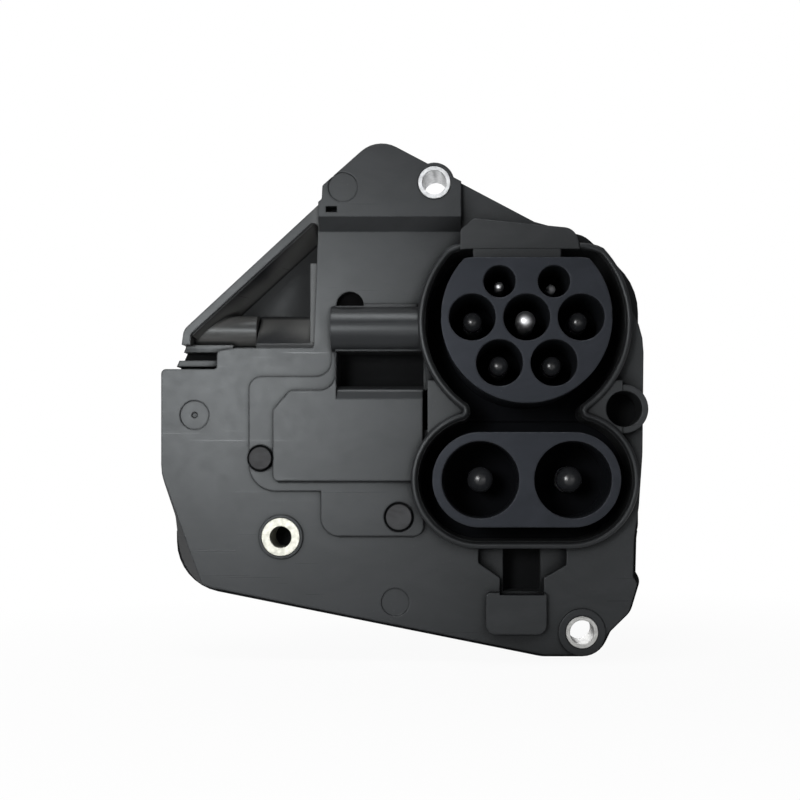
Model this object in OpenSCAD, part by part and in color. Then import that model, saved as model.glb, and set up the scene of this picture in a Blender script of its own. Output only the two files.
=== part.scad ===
// Combined AC and DC vehicle charging inlet in a moulded mounting housing.
// Millimetres, +Z up, +Y into the vehicle, origin on the earth contact at the mating face.

/* [Contact layout] */
// Pitch of the earth contact to the outer contacts of the middle row
ac_pitch = 16; // [15:0.5:17]
// Drop from the earth contact to the lower row
lower_row_drop = 13.4; // [12.8:0.1:14]
// Rise from the earth contact to the signal contacts
signal_row_rise = 10.5; // [10:0.1:11]
// Drop from the earth contact to the DC contacts
dc_drop = 47.8; // [46.5:0.1:49]
// Pitch of the two DC contacts
dc_pitch = 27.2; // [26:0.1:28]

/* [Contacts] */
// Diameter of the AC power pins
power_pin_d = 6; // [5:0.1:7]
// Diameter of the signal pins
signal_pin_d = 3; // [2.5:0.1:3.5]
// Diameter of the DC pins
dc_pin_d = 8; // [7:0.1:9]
// Depth of the earth tip behind the mating face
earth_recess = 8; // [5:0.5:10]
// Depth of the other AC power tips
power_recess = 12; // [10:0.5:14]
// Depth of the proximity tip
proximity_recess = 11; // [9:0.5:14]
// Depth of the pilot tip
pilot_recess = 17; // [15:0.5:19]
// Depth of the DC tips
dc_recess = 14; // [12:0.5:16]

/* [Insulators] */
// Diameter of the AC insulator face
ac_face_d = 50.4; // [49:0.1:52]
// Height of the flat of the AC face over the earth contact
ac_flat = 17.6; // [17:0.1:18.5]
// Width of the DC insulator face
dc_face_w = 55.5; // [54:0.1:57]
// Height of the DC insulator face
dc_face_h = 28; // [27:0.1:29]
// Diameter of the wells round the AC power pins
power_well_d = 13.8; // [13:0.1:14]
// Diameter of the wells round the signal pins
signal_well_d = 9.5; // [9:0.1:10]
// Diameter of the wells round the DC pins
dc_well_d = 22.8; // [22:0.1:23.4]
// Depth of all wells
well_depth = 30; // [28:0.5:31]

/* [Collar] */
// Width of the groove round the AC insulator
ac_groove = 5.2; // [4.6:0.1:5.8]
// Width of the groove over the AC flat
flat_groove = 4.2; // [3.6:0.1:5]
// Width of the groove round the DC insulator
dc_groove = 4.7; // [4.2:0.1:5.2]
// Wall of the collar and width of its rim
collar_wall = 2.2; // [1.8:0.1:2.6]
// Depth of the rim behind the insulator faces
rim_setback = 12.5; // [10:0.5:15]
// Radius of the web tips between the AC and DC grooves
web_tip_r = 3; // [2.4:0.1:3.6]

/* [Housing] */
// Reach of the panel to the left of the earth contact
body_left = 111.5; // [109:0.5:114]
// Reach of the panel to the right of the earth contact
body_right = 36.6; // [36:0.2:38]
// Reach of the panel below the earth contact
body_bottom = 101.5; // [100:0.5:104]
// Height of the apex before its corner is rounded
body_top = 56.6; // [55:0.2:58]
// Step from the rim back to the panel
rim_rise = 5.5; // [4.5:0.5:7]
// Depth of the skirt behind the panel
skirt_depth = 15; // [14:0.5:17]
// Wall thickness of the housing
wall = 2.4; // [2:0.1:2.8]
// Step of the raised top panel
top_rise = 3; // [2:0.25:4]
// Step of the shelf round the plate
shelf_rise = 0.8; // [0.5:0.1:1.2]
// Step of the plate
plate_rise = 2; // [1.5:0.1:2.5]
// Radius of the rolled hump
hump_r = 7.2; // [6.8:0.1:7.4]
// Depth of the channel below the hump
channel_depth = 12; // [10:0.5:12.5]
// Depth of the hinge pocket
pocket_depth = 13; // [12:0.5:13.5]

/* [Fixings] */
// Bore of the upper and lower bushes
bush_bore_d = 7.4; // [6.6:0.1:7.8]
// Outer diameter of the upper and lower bushes
bush_d = 9.8; // [9.4:0.1:10.2]
// Bore of the left bush
left_bore_d = 6.7; // [6.4:0.1:7.4]
// Outer diameter of the left bush
left_bush_d = 11.6; // [11:0.1:12]
// Diameter of the small screws
screw_d = 3.5; // [3:0.1:3.6]

/* [Rear] */
// Depth of the rear cover
cover_depth = 31.8; // [31:0.5:36]
// Wall of the rear cover
cover_wall = 2; // [1.6:0.1:2.2]
// Bore of each DC cable gland
dc_gland_bore = 17; // [15:0.5:18]
// Bore of the AC cable gland
ac_gland_bore = 20; // [18:0.5:22]
// Length of the glands behind the cover
gland_length = 14; // [12:1:20]
// Width of the signal header's shroud
header_w = 30; // [28:0.5:34]
// Height of the signal header's shroud
header_h = 16; // [15:0.5:18]
// Reach of the signal header's shroud behind the cover
header_reach = 11; // [9:0.5:13]

/* [Lock] */
// Diameter of the lock pin
lock_pin_d = 7; // [6:0.1:7.4]
// Height of the lock pin over the earth contact
lock_rise = 9; // [8:0.5:10]
// Depth of the lock pin behind the rim
lock_setback = 13.5; // [13:0.25:14]

/* [Hidden] */
round_fn = 72;
fit_gap = 0.1;
run_gap = 0.08;
gasket_t = 1.2;
flange_t = 4;
retainer_t = 3;
y_rim = rim_setback;
y_panel = y_rim + rim_rise;
y_top = y_panel - top_rise;
y_shelf = y_panel - shelf_rise;
y_plate = y_panel - plate_rise;
y_mount = y_panel + skirt_depth;
y_inner = y_panel + wall;
y_flange = y_mount + gasket_t;
y_retainer = y_flange + flange_t;
y_retainer_back = y_retainer + retainer_t;
y_back = y_flange + cover_depth;
y_floor = y_panel + pocket_depth;
y_insert = y_mount - 2.4;
ac_r = ac_face_d / 2;
void_r = ac_r + ac_groove;
void_flat = ac_flat + flat_groove;
void_w = dc_face_w + 2 * dc_groove;
void_h = dc_face_h + 2 * dc_groove;
z_split = (dc_face_h / 2 - dc_drop - ac_r) / 2;
dc_low = -dc_drop - void_h / 2;
cover_low = dc_low - 5.8;
cover_slant = [-84, -44];
cover_left = [-54, cover_low];
seal_lap = 1.2;
dc_end = [(void_w - void_h) / 2, -dc_drop];
end_gap = norm(dc_end);
tip_r = max(web_tip_r, (end_gap - void_r - void_h / 2) / 2 + 0.5);
tip_run = ((void_r + tip_r) ^ 2 - (void_h / 2 + tip_r) ^ 2 + end_gap ^ 2) / (2 * end_gap);
tip_off = sqrt((void_r + tip_r) ^ 2 - tip_run ^ 2);
web_tip = (dc_end * tip_run + [-dc_end[1], dc_end[0]] * tip_off) / end_gap;
neck_half = web_tip[0] + 5;
cover_right = max(void_w / 2, void_r + 1) + seal_lap + 0.5 + cover_wall;
power_shoulder_d = power_pin_d + 3;
power_tail_d = power_pin_d + 1.5;
signal_shoulder_d = signal_pin_d + 2;
signal_tail_d = signal_pin_d + 1;
dc_shoulder_d = dc_pin_d + 8;
dc_tail_d = dc_pin_d + 7;
tail_end = y_back - 8;
dc_x = dc_pitch / 2;
upper_bush_at = [-27.6, 42.7];
lower_bush_at = [17.6, 6.9 - body_bottom];
left_bush_at = [-74.7, -65.4];
hole_at = [body_right - 6.5, -26.3];
left_buffer_at = [-80.9, -41.3];
right_buffer_at = [-38.5, -59.3];
hump_z = -1.8;
hump_y = y_panel + 1.5;
roof_z = hump_z - hump_r + 0.4;
channel_low = -19;
lock_y = y_rim + lock_setback;
lock_z = lock_rise;
lock_tip_x = 0.3 - void_r;
guide_back = -42.5;
actuator_x = guide_back - 0.6;
dc_screw = dc_end + [0.6135, -0.7897] * (void_h / 2 + seal_lap + screw_d / 2 + 1.9);
retainer_screws = [
  [-36, z_split + 2.5],
  [-0.79, 0.613] * (void_r + 5.7),
  [-dc_screw[0], dc_screw[1]],
  dc_screw
];
cover_screws = [
  [-46, void_r + 5],
  [-89.4, -20],
  cover_left + unit(cover_slant - cover_left) * 7 + left_normal(cover_left, cover_slant) * 5.4,
  [-22, cover_low - 5],
  [22, cover_low - 5]
];
actuator_screws = [[-50, void_r - 6.9], [-76, -14]];
power_at = [[-ac_pitch, 0], [ac_pitch, 0], [-ac_pitch / 2, -lower_row_drop], [ac_pitch / 2, -lower_row_drop]];

outline = [
  [4.5 - body_left, 22.7 - body_bottom, 14],
  [6, -body_bottom, 10],
  [22.4, -body_bottom, 6],
  [25.8, 7 - body_bottom, 4],
  [body_right - 4.6, -88.4, 4],
  [body_right - 2, -79.8, 1.5],
  [body_right - 3.3, -77.5, 1],
  [body_right - 3, -66, 8],
  [body_right - 1.5, -56, 10],
  [body_right - 0.4, -40, 20],
  [body_right, -2, 24],
  [26.4, 15, 4],
  [17.2, 23.2, 2],
  [15, 28, 4.5],
  [3, 31.3, 2],
  [-45, body_top, 9.5],
  [-61.7, 41.8, 1],
  [-61.9, 37.8, 1],
  [6.9 - body_left, -1.8, 4],
  [6.2 - body_left, -7, 2],
  [3.4 - body_left, -13.4, 1],
  [-body_left, -14.2, 1.5],
  [-body_left, -46, 18],
  [4.2 - body_left, -59, 6]
];
pocket_top = [-63.2, 32.9, 1.5];
pocket_end = [9 - body_left, -3.2, 1.5];
pocket = [
  [-body_left - 3, -13.9, 0],
  [-94.4, -13.9, 1],
  [-94.4, -8.4, 1.5],
  [-88.5, -7.4, 1],
  [-64.7, -7.4, 1],
  pocket_top,
  pocket_end,
  [pocket_end[0], -6.4, 0],
  [-body_left - 3, -6.4, 0]
];
shelf = [
  [-84.4, -51.3, 8],
  [-33, -51.3, 0],
  [-33, 6, 0],
  [-59.1, 6, 3],
  [-59.1, -16.3, 5],
  [-84.4, -16.3, 3.7]
];
plate = [
  [-76.9, -48.2, 1.5],
  [-31.2, -48.2, 0.5],
  [-31.2, -8, 0],
  [-57.8, -8, 0],
  [-57.8, -20.6, 5],
  [-71.7, -20.6, 1.5],
  [-76.9, -26.5, 1.5]
];
lower_pad = [[-62.4, -65.1, 5.5], [-31, -65.1, 3], [-31, -50, 0], [-62.4, -50, 0]];
hood = [[-19.7, 18, 0], [17.2, 18, 0], [15.2, 28, 4.5], [-15.6, 31, 1.5], [-19.6, 27.6, 1.5]];
funnel = [
  [-14.2, dc_low + 2.5, 0],
  [-14.2, dc_low - 6.9, 0.6],
  [-7.6, dc_low - 11.5, 0.6],
  [-7.6, dc_low - 16.5, 0],
  [6, dc_low - 16.5, 0],
  [6, dc_low - 11.5, 0.6],
  [12.9, dc_low - 7.5, 0.6],
  [12.9, dc_low + 2.5, 0]
];
latch_box = [
  [-11.8, dc_low - 28.5, 3],
  [6.6, dc_low - 28.5, 3],
  [6.6, dc_low - 15.8, 1],
  [-11.8, dc_low - 15.8, 1]
];
cover_outline = [
  [cover_slant[0], cover_slant[1], 8],
  [cover_left[0], cover_left[1], 8],
  [cover_right - 2.15, cover_low, 8],
  [cover_right, cover_low + 10, 6],
  [cover_right, void_r - 17, 20],
  [18.6, void_r - 0.8, 8],
  [-62, void_r - 0.8, 6],
  [-84, 8, 8]
];
ribs = [
  [-96, -80, -96, -14],
  [-110, -34, -84, -34],
  [-110, -56, -80, -56],
  [-46, -94, -46, -70],
  [-8, -100, -8, -96],
  [-40, 30, -40, 52],
  [-8, 30, -8, 37]
];

// Arc of one corner p between its neighbours a and b, both given as [x, z, radius]
function unit(v) = v / norm(v);
function flat2(p) = [p[0], p[1]];
function cross2(a, b) = a[0] * b[1] - a[1] * b[0];
function corner(a, p, b) =
  let (
    ua = unit(flat2(a) - flat2(p)),
    ub = unit(flat2(b) - flat2(p)),
    half = acos(ua * ub) / 2,
    turn = cross2(-ua, ub) > 0 ? 1 : -1,
    c = flat2(p) + unit(ua + ub) * p[2] / sin(half),
    s = flat2(p) + ua * p[2] / tan(half) - c,
    start = atan2(s[1], s[0]),
    sweep = turn * (180 - 2 * half),
    n = max(1, ceil(abs(sweep) / 11))
  )
  p[2] == 0
    ? [flat2(p)]
    : [for (i = [0 : n]) c + p[2] * [cos(start + sweep * i / n), sin(start + sweep * i / n)]];
function rounded(pts) =
  let (n = len(pts))
  [for (i = [0 : n - 1]) each corner(pts[(i + n - 1) % n], pts[i], pts[(i + 1) % n])];

// Corners moved d into the outline, which runs anticlockwise
function left_normal(a, b) = let (u = unit(flat2(b) - flat2(a))) [-u[1], u[0]];
function inset_corner(a, p, b, d) =
  let (
    n1 = left_normal(a, p),
    n2 = left_normal(p, b),
    q = flat2(p) + (n1 + n2) * d / (1 + n1 * n2),
    convex = cross2(flat2(p) - flat2(a), flat2(b) - flat2(p)) > 0
  )
  [q[0], q[1], p[2] == 0 ? 0 : max(convex ? p[2] - d : p[2] + d, 0.2)];
function inset(pts, d) =
  let (n = len(pts))
  [for (i = [0 : n - 1]) inset_corner(pts[(i + n - 1) % n], pts[i], pts[(i + 1) % n], d)];

module shape(pts) {
  polygon(rounded(pts));
}
// Solid between two depths from an outline drawn in X and Z
module slab(y0, y1) {
  translate([0, y1, 0]) rotate([90, 0, 0]) linear_extrude(y1 - y0) children();
}
module rod(at, y0, y1, d) {
  translate([at[0], y1, at[1]]) rotate([90, 0, 0]) cylinder(h = y1 - y0, d = d, $fn = round_fn);
}
// Round bar with a domed front end
module tipped(at, y0, y1, d, nose) {
  dome = [for (t = [10 : 16 : 90]) [d / 2 * sin(t), nose * (cos(10) - cos(t))]];
  translate([at[0], y0, at[1]]) rotate([-90, 0, 0]) rotate_extrude($fn = round_fn)
    polygon(concat([[0, 0]], dome, [[d / 2, y1 - y0], [0, y1 - y0]]));
}
module across(x, y, z, length, d) {
  translate([x, y, z]) rotate([0, 90, 0]) cylinder(h = length, d = d, $fn = round_fn);
}
// Profile drawn in Y and Z, extruded along X
module along_x(x0, x1) {
  translate([x0, 0, 0]) rotate([90, 0, 90]) linear_extrude(x1 - x0) children();
}
module block(x0, x1, y0, y1, z0, z1) {
  translate([x0, y0, z0]) cube([x1 - x0, y1 - y0, z1 - z0]);
}
module stadium(w, h) {
  translate([0, -dc_drop]) {
    square([w - h, h], center = true);
    translate([(w - h) / 2, 0]) circle(d = h, $fn = round_fn);
    translate([(h - w) / 2, 0]) circle(d = h, $fn = round_fn);
  }
}
// Circle with a flat top whose ends are rounded
module dee(r, flat, ease) {
  intersection() {
    circle(r = r, $fn = 120);
    shape([[-r - 1, -r - 1, 0], [r + 1, -r - 1, 0], [r * 0.97, flat, ease], [-r * 0.97, flat, ease]]);
  }
}
// Passage between the grooves, up to the rounded tips of the webs
module neck() {
  ac_side = web_tip * void_r / (void_r + tip_r);
  dc_side = dc_end + (web_tip - dc_end) * void_h / (void_h + 2 * tip_r);
  right = [ac_side, web_tip, dc_side];
  polygon(concat(right, [for (i = [2 : -1 : 0]) [-right[i][0], right[i][1]]]));
}
// Clear outline of the collar round both insulators
module void_shape() {
  difference() {
    union() {
      dee(void_r, void_flat, 13);
      stadium(void_w, void_h);
      neck();
    }
    for (s = [-1, 1]) translate([s * web_tip[0], web_tip[1]]) circle(r = tip_r + 0.08, $fn = 48);
  }
}
module collar_shape(grow) {
  dee(void_r + grow, void_flat + grow, 13 + grow);
  stadium(void_w + 2 * grow, void_h + 2 * grow);
}
module flange_shape(grow) {
  dee(void_r + grow, void_flat + grow, 13 + grow);
  stadium(void_w + 2 * grow, void_h + 2 * grow);
  translate([-neck_half, z_split - 5.2]) square([2 * neck_half, 14]);
}
module pierced(list, y0, y1, d) {
  for (p = list) rod(p, y0, y1, d);
}
// Prism along the chord that cuts the lower left corner, drawn outwards and in depth
module corner_prism(pts) {
  translate([8.2 - body_left, 0, 33.4 - body_bottom]) rotate([0, 159.9, 0])
    translate([0, 0, -34]) linear_extrude(68) polygon(pts);
}
module screw(at, head_y, length) {
  difference() {
    union() {
      rod(at, head_y - length, head_y, screw_d - 0.1);
      rod(at, head_y, head_y + 2.2, screw_d * 2);
    }
    rod(at, head_y + 1, head_y + 3, screw_d * 0.7);
  }
}

// Front housing
module panel_body() {
  difference() {
    slab(y_panel, y_mount) shape(outline);
    slab(y_inner, y_mount + 1) shape(inset(outline, wall));
  }
  intersection() {
    slab(y_panel, y_mount) shape(outline);
    corner_prism([[-3.6, 0], [20, 0], [20, 60], [-3.6, 60]]);
  }
  intersection() {
    slab(y_mount - 2.6, y_mount) shape(inset(outline, -2.2));
    block(-body_left - 5, body_right + 5, 0, y_mount + 1, -body_bottom - 5, -64);
    difference() {
      slab(0, y_mount + 1) shape(inset(outline, -3));
      slab(0, y_mount + 1) shape(inset(outline, wall));
    }
  }
}
module top_panel() {
  intersection() {
    slab(y_top, y_inner) shape(outline);
    along_x(-63, -19.4) polygon([[y_top, 32.4], [y_panel + 0.5, 27.5], [y_inner, 27.5], [y_inner, 70], [y_top, 70]]);
  }
}
module steps() {
  slab(y_shelf, y_inner) shape(shelf);
  slab(y_shelf, y_inner) shape(lower_pad);
  slab(y_plate, y_inner) shape(plate);
  along_x(-75.4, -31.2) polygon([[y_plate, -47.6], [y_shelf + 0.2, -49], [y_inner, -49], [y_inner, -47.6]]);
  along_x(-56.9, -34) polygon([[y_shelf, -64.6], [y_panel + 0.2, -65.8], [y_inner, -65.8], [y_inner, -64.6]]);
  slab(y_panel - 3.2, y_inner) shape(latch_box);
  intersection() {
    along_x(-59.1, -31) translate([hump_y, hump_z]) circle(r = hump_r, $fn = round_fn);
    block(-60, -30, 0, y_inner, -20, 20);
  }
  block(-60, -30.4, y_inner - 0.5, y_panel + channel_depth + wall, channel_low - wall, roof_z + wall);
  block(-19, 19, y_inner - 0.5, y_inner + 2.6, dc_low - 17.5, dc_low + 0.5);
  block(-6.6 - wall, 5 + wall, y_inner - 0.5, y_mount, dc_low - 15.7 - wall, dc_low + 0.5);
}
module pocket_body() {
  intersection() {
    slab(y_panel, y_mount) shape(outline);
    slab(0, y_mount + 1) shape(inset(pocket, -2.2));
  }
}
// Wall that slopes from the slanting rim down to the pocket's floor
module pocket_slope() {
  run = flat2(pocket_top) - flat2(pocket_end);
  translate([pocket_end[0], 0, pocket_end[1]]) rotate([0, -atan2(run[1], run[0]), 0])
    along_x(0, norm(run)) polygon([
      [y_panel + 0.8, 0.5], [y_panel + 0.8, -0.4], [y_floor + 0.5, -4], [y_floor + 0.5, 0.5]
    ]);
}
module pocket_ledges() {
  intersection() {
    slab(0, y_mount) shape(inset(outline, 0.6));
    union() {
      block(-body_left, -94, y_panel + 2.5, y_floor + 1, -13, -11.1);
      block(6 - body_left, -90, y_panel + 3.6, y_floor + 1, -8.5, -6.2);
      block(-body_left, -84, y_floor - 4, y_floor + 1, -15, 2.4);
      along_x(7.2 - body_left, -83) translate([y_floor - 3.4, -1.5]) circle(r = 4.9, $fn = round_fn);
    }
  }
  intersection() {
    slab(0, y_mount) shape(inset(pocket, -1));
    pocket_slope();
  }
  along_x(-82.6, -64) polygon([[y_panel + 1.2, -8], [y_panel + 1.6, -6], [y_floor + 0.5, 4], [y_floor + 0.5, -8]]);
  block(-66, -63, y_panel + 2, y_floor + 0.5, -7.6, 18.8);
}
module collar() {
  slab(y_rim, y_mount) collar_shape(collar_wall);
  slab(y_rim + 0.9, y_mount) translate([-29.6, z_split - 8.2]) square([59.2, 20]);
  slab(y_rim - 1.8, y_mount) shape(hood);
  rod(hole_at, y_rim + 1.5, y_mount, 14.8);
  across(guide_back, lock_y, lock_z, -guide_back - 20, lock_pin_d + 5);
}
module pillars() {
  rod(upper_bush_at, y_top, y_mount, bush_d + 2.4);
  rod(lower_bush_at, y_panel - 0.6, y_mount, bush_d + 4.6);
  rod(left_bush_at, y_panel - 0.8, y_mount, left_bush_d + 1.8);
  pierced(retainer_screws, y_inner - 0.5, y_retainer, screw_d + 3);
  pierced(cover_screws, y_inner - 0.5, y_mount, screw_d + 3.6);
  pierced(actuator_screws, y_inner - 0.5, y_flange, screw_d + 3);
}
module rear_walls() {
  difference() {
    slab(y_inner - 0.5, y_mount) intersection() {
      shape(cover_outline);
      shape(inset(outline, 0.3));
    }
    slab(y_inner - 1, y_mount + 1) shape(inset(cover_outline, cover_wall + 0.2));
  }
  slab(y_mount - 4, y_mount) difference() {
    shape(cover_outline);
    shape(inset(cover_outline, cover_wall + 0.2));
  }
  difference() {
    intersection() {
      slab(y_inner - 0.5, y_mount - 3) shape(inset(outline, 0.5));
      for (r = ribs) block(min(r[0], r[2]) - 0.9, max(r[0], r[2]) + 0.9, 0, 60, min(r[1], r[3]) - 0.9, max(r[1], r[3]) + 0.9);
    }
    slab(0, 60) shape(inset(cover_outline, 1));
  }
}
module housing_cuts() {
  slab(-1, y_mount + 1) void_shape();
  corner_prism([[0, 0], [20, 0], [20, y_panel + 28], [0, y_panel]]);
  along_x(-57.6, -31) polygon(rounded([
    [0, -23.4, 0],
    [y_plate, -23.4, 0.4],
    [y_plate + 1, channel_low - 1, 2],
    [y_plate + 4.4, channel_low, 3],
    [y_panel + channel_depth, channel_low, 3],
    [y_panel + channel_depth, roof_z, 3],
    [0, roof_z, 0]
  ]));
  intersection() {
    block(-57, -33.4, 0, y_mount + 1, roof_z + wall - 0.2, 3.4);
    union() {
      across(-57, hump_y, hump_z, 23.6, 2 * (hump_r - wall));
      block(-57, -33.4, hump_y, y_mount + 1, roof_z + wall, 3.4);
    }
  }
  intersection() {
    rod([-53.5, 5.6], 0, y_inner + 1, 8.4);
    block(-60, -40, 0, y_mount, 5.4, 20);
  }
  block(-31.2, -29.6, 0, y_panel + 9, -32.6, -20.4);
  block(-60.6, -57.3, 0, y_inner - 0.4, 33.7, 35.5);
  slab(y_panel - 6, y_panel + 2.4) difference() {
    shape(funnel);
    collar_shape(collar_wall);
  }
  block(-6.6, 5, 0, y_mount - 2, dc_low - 15.7, dc_low - 2.7);
  rod(hole_at, 0, y_mount - 2, 11);
  across(guide_back - 1, lock_y, lock_z, -guide_back - 20, lock_pin_d + 2 * run_gap);
  across(guide_back - 1, lock_y, lock_z, 3.5, lock_pin_d + 3.4);
  block(-16, 13, y_rim + 2, y_mount + 1, void_flat + collar_wall + 2, 28.6);
  rod(upper_bush_at, 0, y_mount + 1, bush_d + 2 * fit_gap);
  rod(lower_bush_at, 0, y_mount + 1, bush_d + 2 * fit_gap);
  rod(left_bush_at, 0, y_insert, left_bush_d + 2 * fit_gap);
  pierced(retainer_screws, y_retainer - 12, y_retainer + 1, screw_d + 0.1);
  pierced(cover_screws, y_mount - 10, y_mount + 1, screw_d + 0.1);
  pierced(actuator_screws, y_flange - 10, y_flange + 1, screw_d + 0.1);
  rod(left_buffer_at, 0, y_shelf + 1.4, 8.2);
  rod(left_buffer_at, 0, y_inner + 1, 4 + 2 * fit_gap);
  rod(right_buffer_at, 0, y_shelf + 1.4, 9.2);
  rod(right_buffer_at, 0, y_inner + 1, 4 + 2 * fit_gap);
  rod([10.2 - body_left, -28], 0, y_panel + 0.3, 9);
  rod([10.2 - body_left, -28], 0, y_panel + 0.7, 1.8);
  rod([-55.5, 41.3], 0, y_top + 0.3, 9);
  rod([-39.7, -85.4], 0, y_panel + 0.3, 8.6);
}
module front_housing() {
  color("#1d1e20") {
    difference() {
      union() {
        difference() {
          union() {
            panel_body();
            top_panel();
            steps();
            pocket_body();
            rear_walls();
          }
          slab(0, y_floor) shape(pocket);
        }
        pocket_ledges();
        collar();
        pillars();
      }
      housing_cuts();
    }
  }
}

// Insulators
module pin_seat(at, well_d, pin_d, shoulder_d) {
  rod(at, -1, well_depth, well_d);
  rod(at, well_depth - 1, y_retainer + 1, pin_d + 2 * fit_gap);
  rod(at, y_flange + 1, y_retainer + 1, shoulder_d + 2 * fit_gap);
}
module ac_insulator() {
  color("#232427") difference() {
    union() {
      slab(0, y_retainer) dee(ac_r, ac_flat, 9);
      intersection() {
        slab(y_flange, y_retainer) flange_shape(seal_lap);
        block(-60, 60, 0, 60, z_split + 0.1, 60);
      }
    }
    pin_seat([0, 0], power_well_d, power_pin_d, power_shoulder_d);
    for (p = power_at) pin_seat(p, power_well_d, power_pin_d, power_shoulder_d);
    for (s = [-1, 1]) pin_seat([s * ac_pitch / 2, signal_row_rise], signal_well_d, signal_pin_d, signal_shoulder_d);
  }
}
module dc_insulator() {
  color("#232427") difference() {
    union() {
      slab(0, y_retainer) stadium(dc_face_w, dc_face_h);
      intersection() {
        slab(y_flange, y_retainer) flange_shape(seal_lap);
        block(-60, 60, 0, 60, -90, z_split - 0.1);
      }
    }
    for (s = [-1, 1]) pin_seat([s * dc_x, -dc_drop], dc_well_d, dc_pin_d, dc_shoulder_d);
  }
}
module inlet_gasket() {
  color("#101113") slab(y_mount, y_flange) difference() {
    flange_shape(seal_lap);
    void_shape();
  }
}

// Contacts, each a pin with a shoulder in the insulator and a crimp barrel behind the retainer
module tail(at, pin_d, shoulder_d, tail_d) {
  difference() {
    union() {
      rod(at, y_flange + 1.2, y_retainer, shoulder_d);
      rod(at, y_retainer - 1, tail_end, tail_d);
    }
    rod(at, tail_end - 13, tail_end + 1, tail_d * 0.68);
  }
}
module bare_contact(at, recess, pin_d, shoulder_d, tail_d) {
  tipped(at, recess, y_retainer - 1, pin_d, pin_d * 0.4);
  tail(at, pin_d, shoulder_d, tail_d);
}
module capped_contact(at, recess, pin_d, shoulder_d, tail_d) {
  rod(at, recess + pin_d * 0.7, y_retainer - 1, pin_d);
  rod(at, recess + pin_d * 0.3, y_retainer - 1, pin_d * 0.5);
  tail(at, pin_d, shoulder_d, tail_d);
}
module tip_cap(at, recess, pin_d) {
  difference() {
    tipped(at, recess, recess + pin_d * 0.7, pin_d, pin_d * 0.36);
    rod(at, recess + pin_d * 0.25, recess + pin_d, pin_d * 0.5 + 2 * fit_gap);
  }
}
module power_contact(at) {
  color("#c9ccd0") capped_contact(at, power_recess, power_pin_d, power_shoulder_d, power_tail_d);
}
module dc_contact(side) {
  color("#c9ccd0") capped_contact([side * dc_x, -dc_drop], dc_recess, dc_pin_d, dc_shoulder_d, dc_tail_d);
}
module earth_contact() {
  color("#c9ccd0") bare_contact([0, 0], earth_recess, power_pin_d, power_shoulder_d, power_tail_d);
}
module neutral_contact() {
  power_contact(power_at[1]);
}
module line_1_contact() {
  power_contact(power_at[0]);
}
module line_2_contact() {
  power_contact(power_at[2]);
}
module line_3_contact() {
  power_contact(power_at[3]);
}
module proximity_contact() {
  color("#c9ccd0")
    bare_contact([-ac_pitch / 2, signal_row_rise], proximity_recess, signal_pin_d, signal_shoulder_d, signal_tail_d);
}
module pilot_contact() {
  color("#c9ccd0")
    bare_contact([ac_pitch / 2, signal_row_rise], pilot_recess, signal_pin_d, signal_shoulder_d, signal_tail_d);
}
module dc_plus_contact() {
  dc_contact(1);
}
module dc_minus_contact() {
  dc_contact(-1);
}
module ac_tip_caps() {
  color("#18191b") for (p = power_at) tip_cap(p, power_recess, power_pin_d);
}
module dc_tip_caps() {
  color("#18191b") for (s = [-1, 1]) tip_cap([s * dc_x, -dc_drop], dc_recess, dc_pin_d);
}

// Parts behind the flanges
module retainer_plate() {
  color("#2b2d31") difference() {
    union() {
      slab(y_retainer, y_retainer_back) flange_shape(seal_lap - 0.5);
      for (p = retainer_screws) {
        rod(p, y_retainer, y_retainer_back, screw_d + 4);
        slab(y_retainer, y_retainer_back) polygon([
          [p[0], p[1] - 3.6], [p[0], p[1] + 3.6], [p[0] * 0.4, p[1] + 3.6], [p[0] * 0.4, p[1] - 3.6]
        ]);
      }
      for (s = [-1, 1]) rod([0, s * 10 - dc_drop], y_retainer_back - 1, y_retainer_back + 3.4, 5);
      for (s = [-1, 1]) rod([0, s * 10 - dc_drop], y_retainer_back, y_retainer_back + 6, 2.8);
    }
    rod([0, 0], 0, 90, power_tail_d + 0.4);
    for (p = power_at) rod(p, 0, 90, power_tail_d + 0.4);
    for (s = [-1, 1]) rod([s * ac_pitch / 2, signal_row_rise], 0, 90, signal_tail_d + 0.4);
    for (s = [-1, 1]) rod([s * dc_x, -dc_drop], 0, 90, dc_tail_d + 0.4);
    pierced(retainer_screws, 0, 90, screw_d + 0.4);
  }
}
module retainer_fixings() {
  color("#9a9da3") for (p = retainer_screws) screw(p, y_retainer_back, 13);
}
module temperature_board() {
  color("#1f5a3a") difference() {
    slab(y_retainer_back + 3.4, y_retainer_back + 5) translate([0, -dc_drop])
      square([dc_face_w - 1.5, dc_face_h], center = true);
    for (s = [-1, 1]) rod([s * dc_x, -dc_drop], 0, 90, dc_tail_d + 1);
    for (s = [-1, 1]) rod([0, s * 10 - dc_drop], 0, 90, 3);
  }
}

// Fixing bushes and door buffers
module bush(at, y0, y1, d, bore_d) {
  color("#d7d9dc") difference() {
    rod(at, y0, y1, d);
    rod(at, 0, y1 + 1, bore_d);
  }
}
module upper_bush() {
  bush(upper_bush_at, y_top - 0.3, y_mount + 0.3, bush_d, bush_bore_d);
}
module lower_bush() {
  bush(lower_bush_at, y_panel - 0.9, y_mount + 0.3, bush_d, bush_bore_d);
}
module left_bush() {
  bush(left_bush_at, y_panel - 1.1, y_insert, left_bush_d, left_bore_d);
}
module buffer(at, d) {
  color("#222326") {
    rod(at, y_shelf - 0.9, y_shelf + 1.4, d);
    rod(at, y_shelf + 1, y_inner, 4);
  }
}
module left_buffer() {
  buffer(left_buffer_at, 6.8);
}
module right_buffer() {
  buffer(right_buffer_at, 7.8);
}

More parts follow.
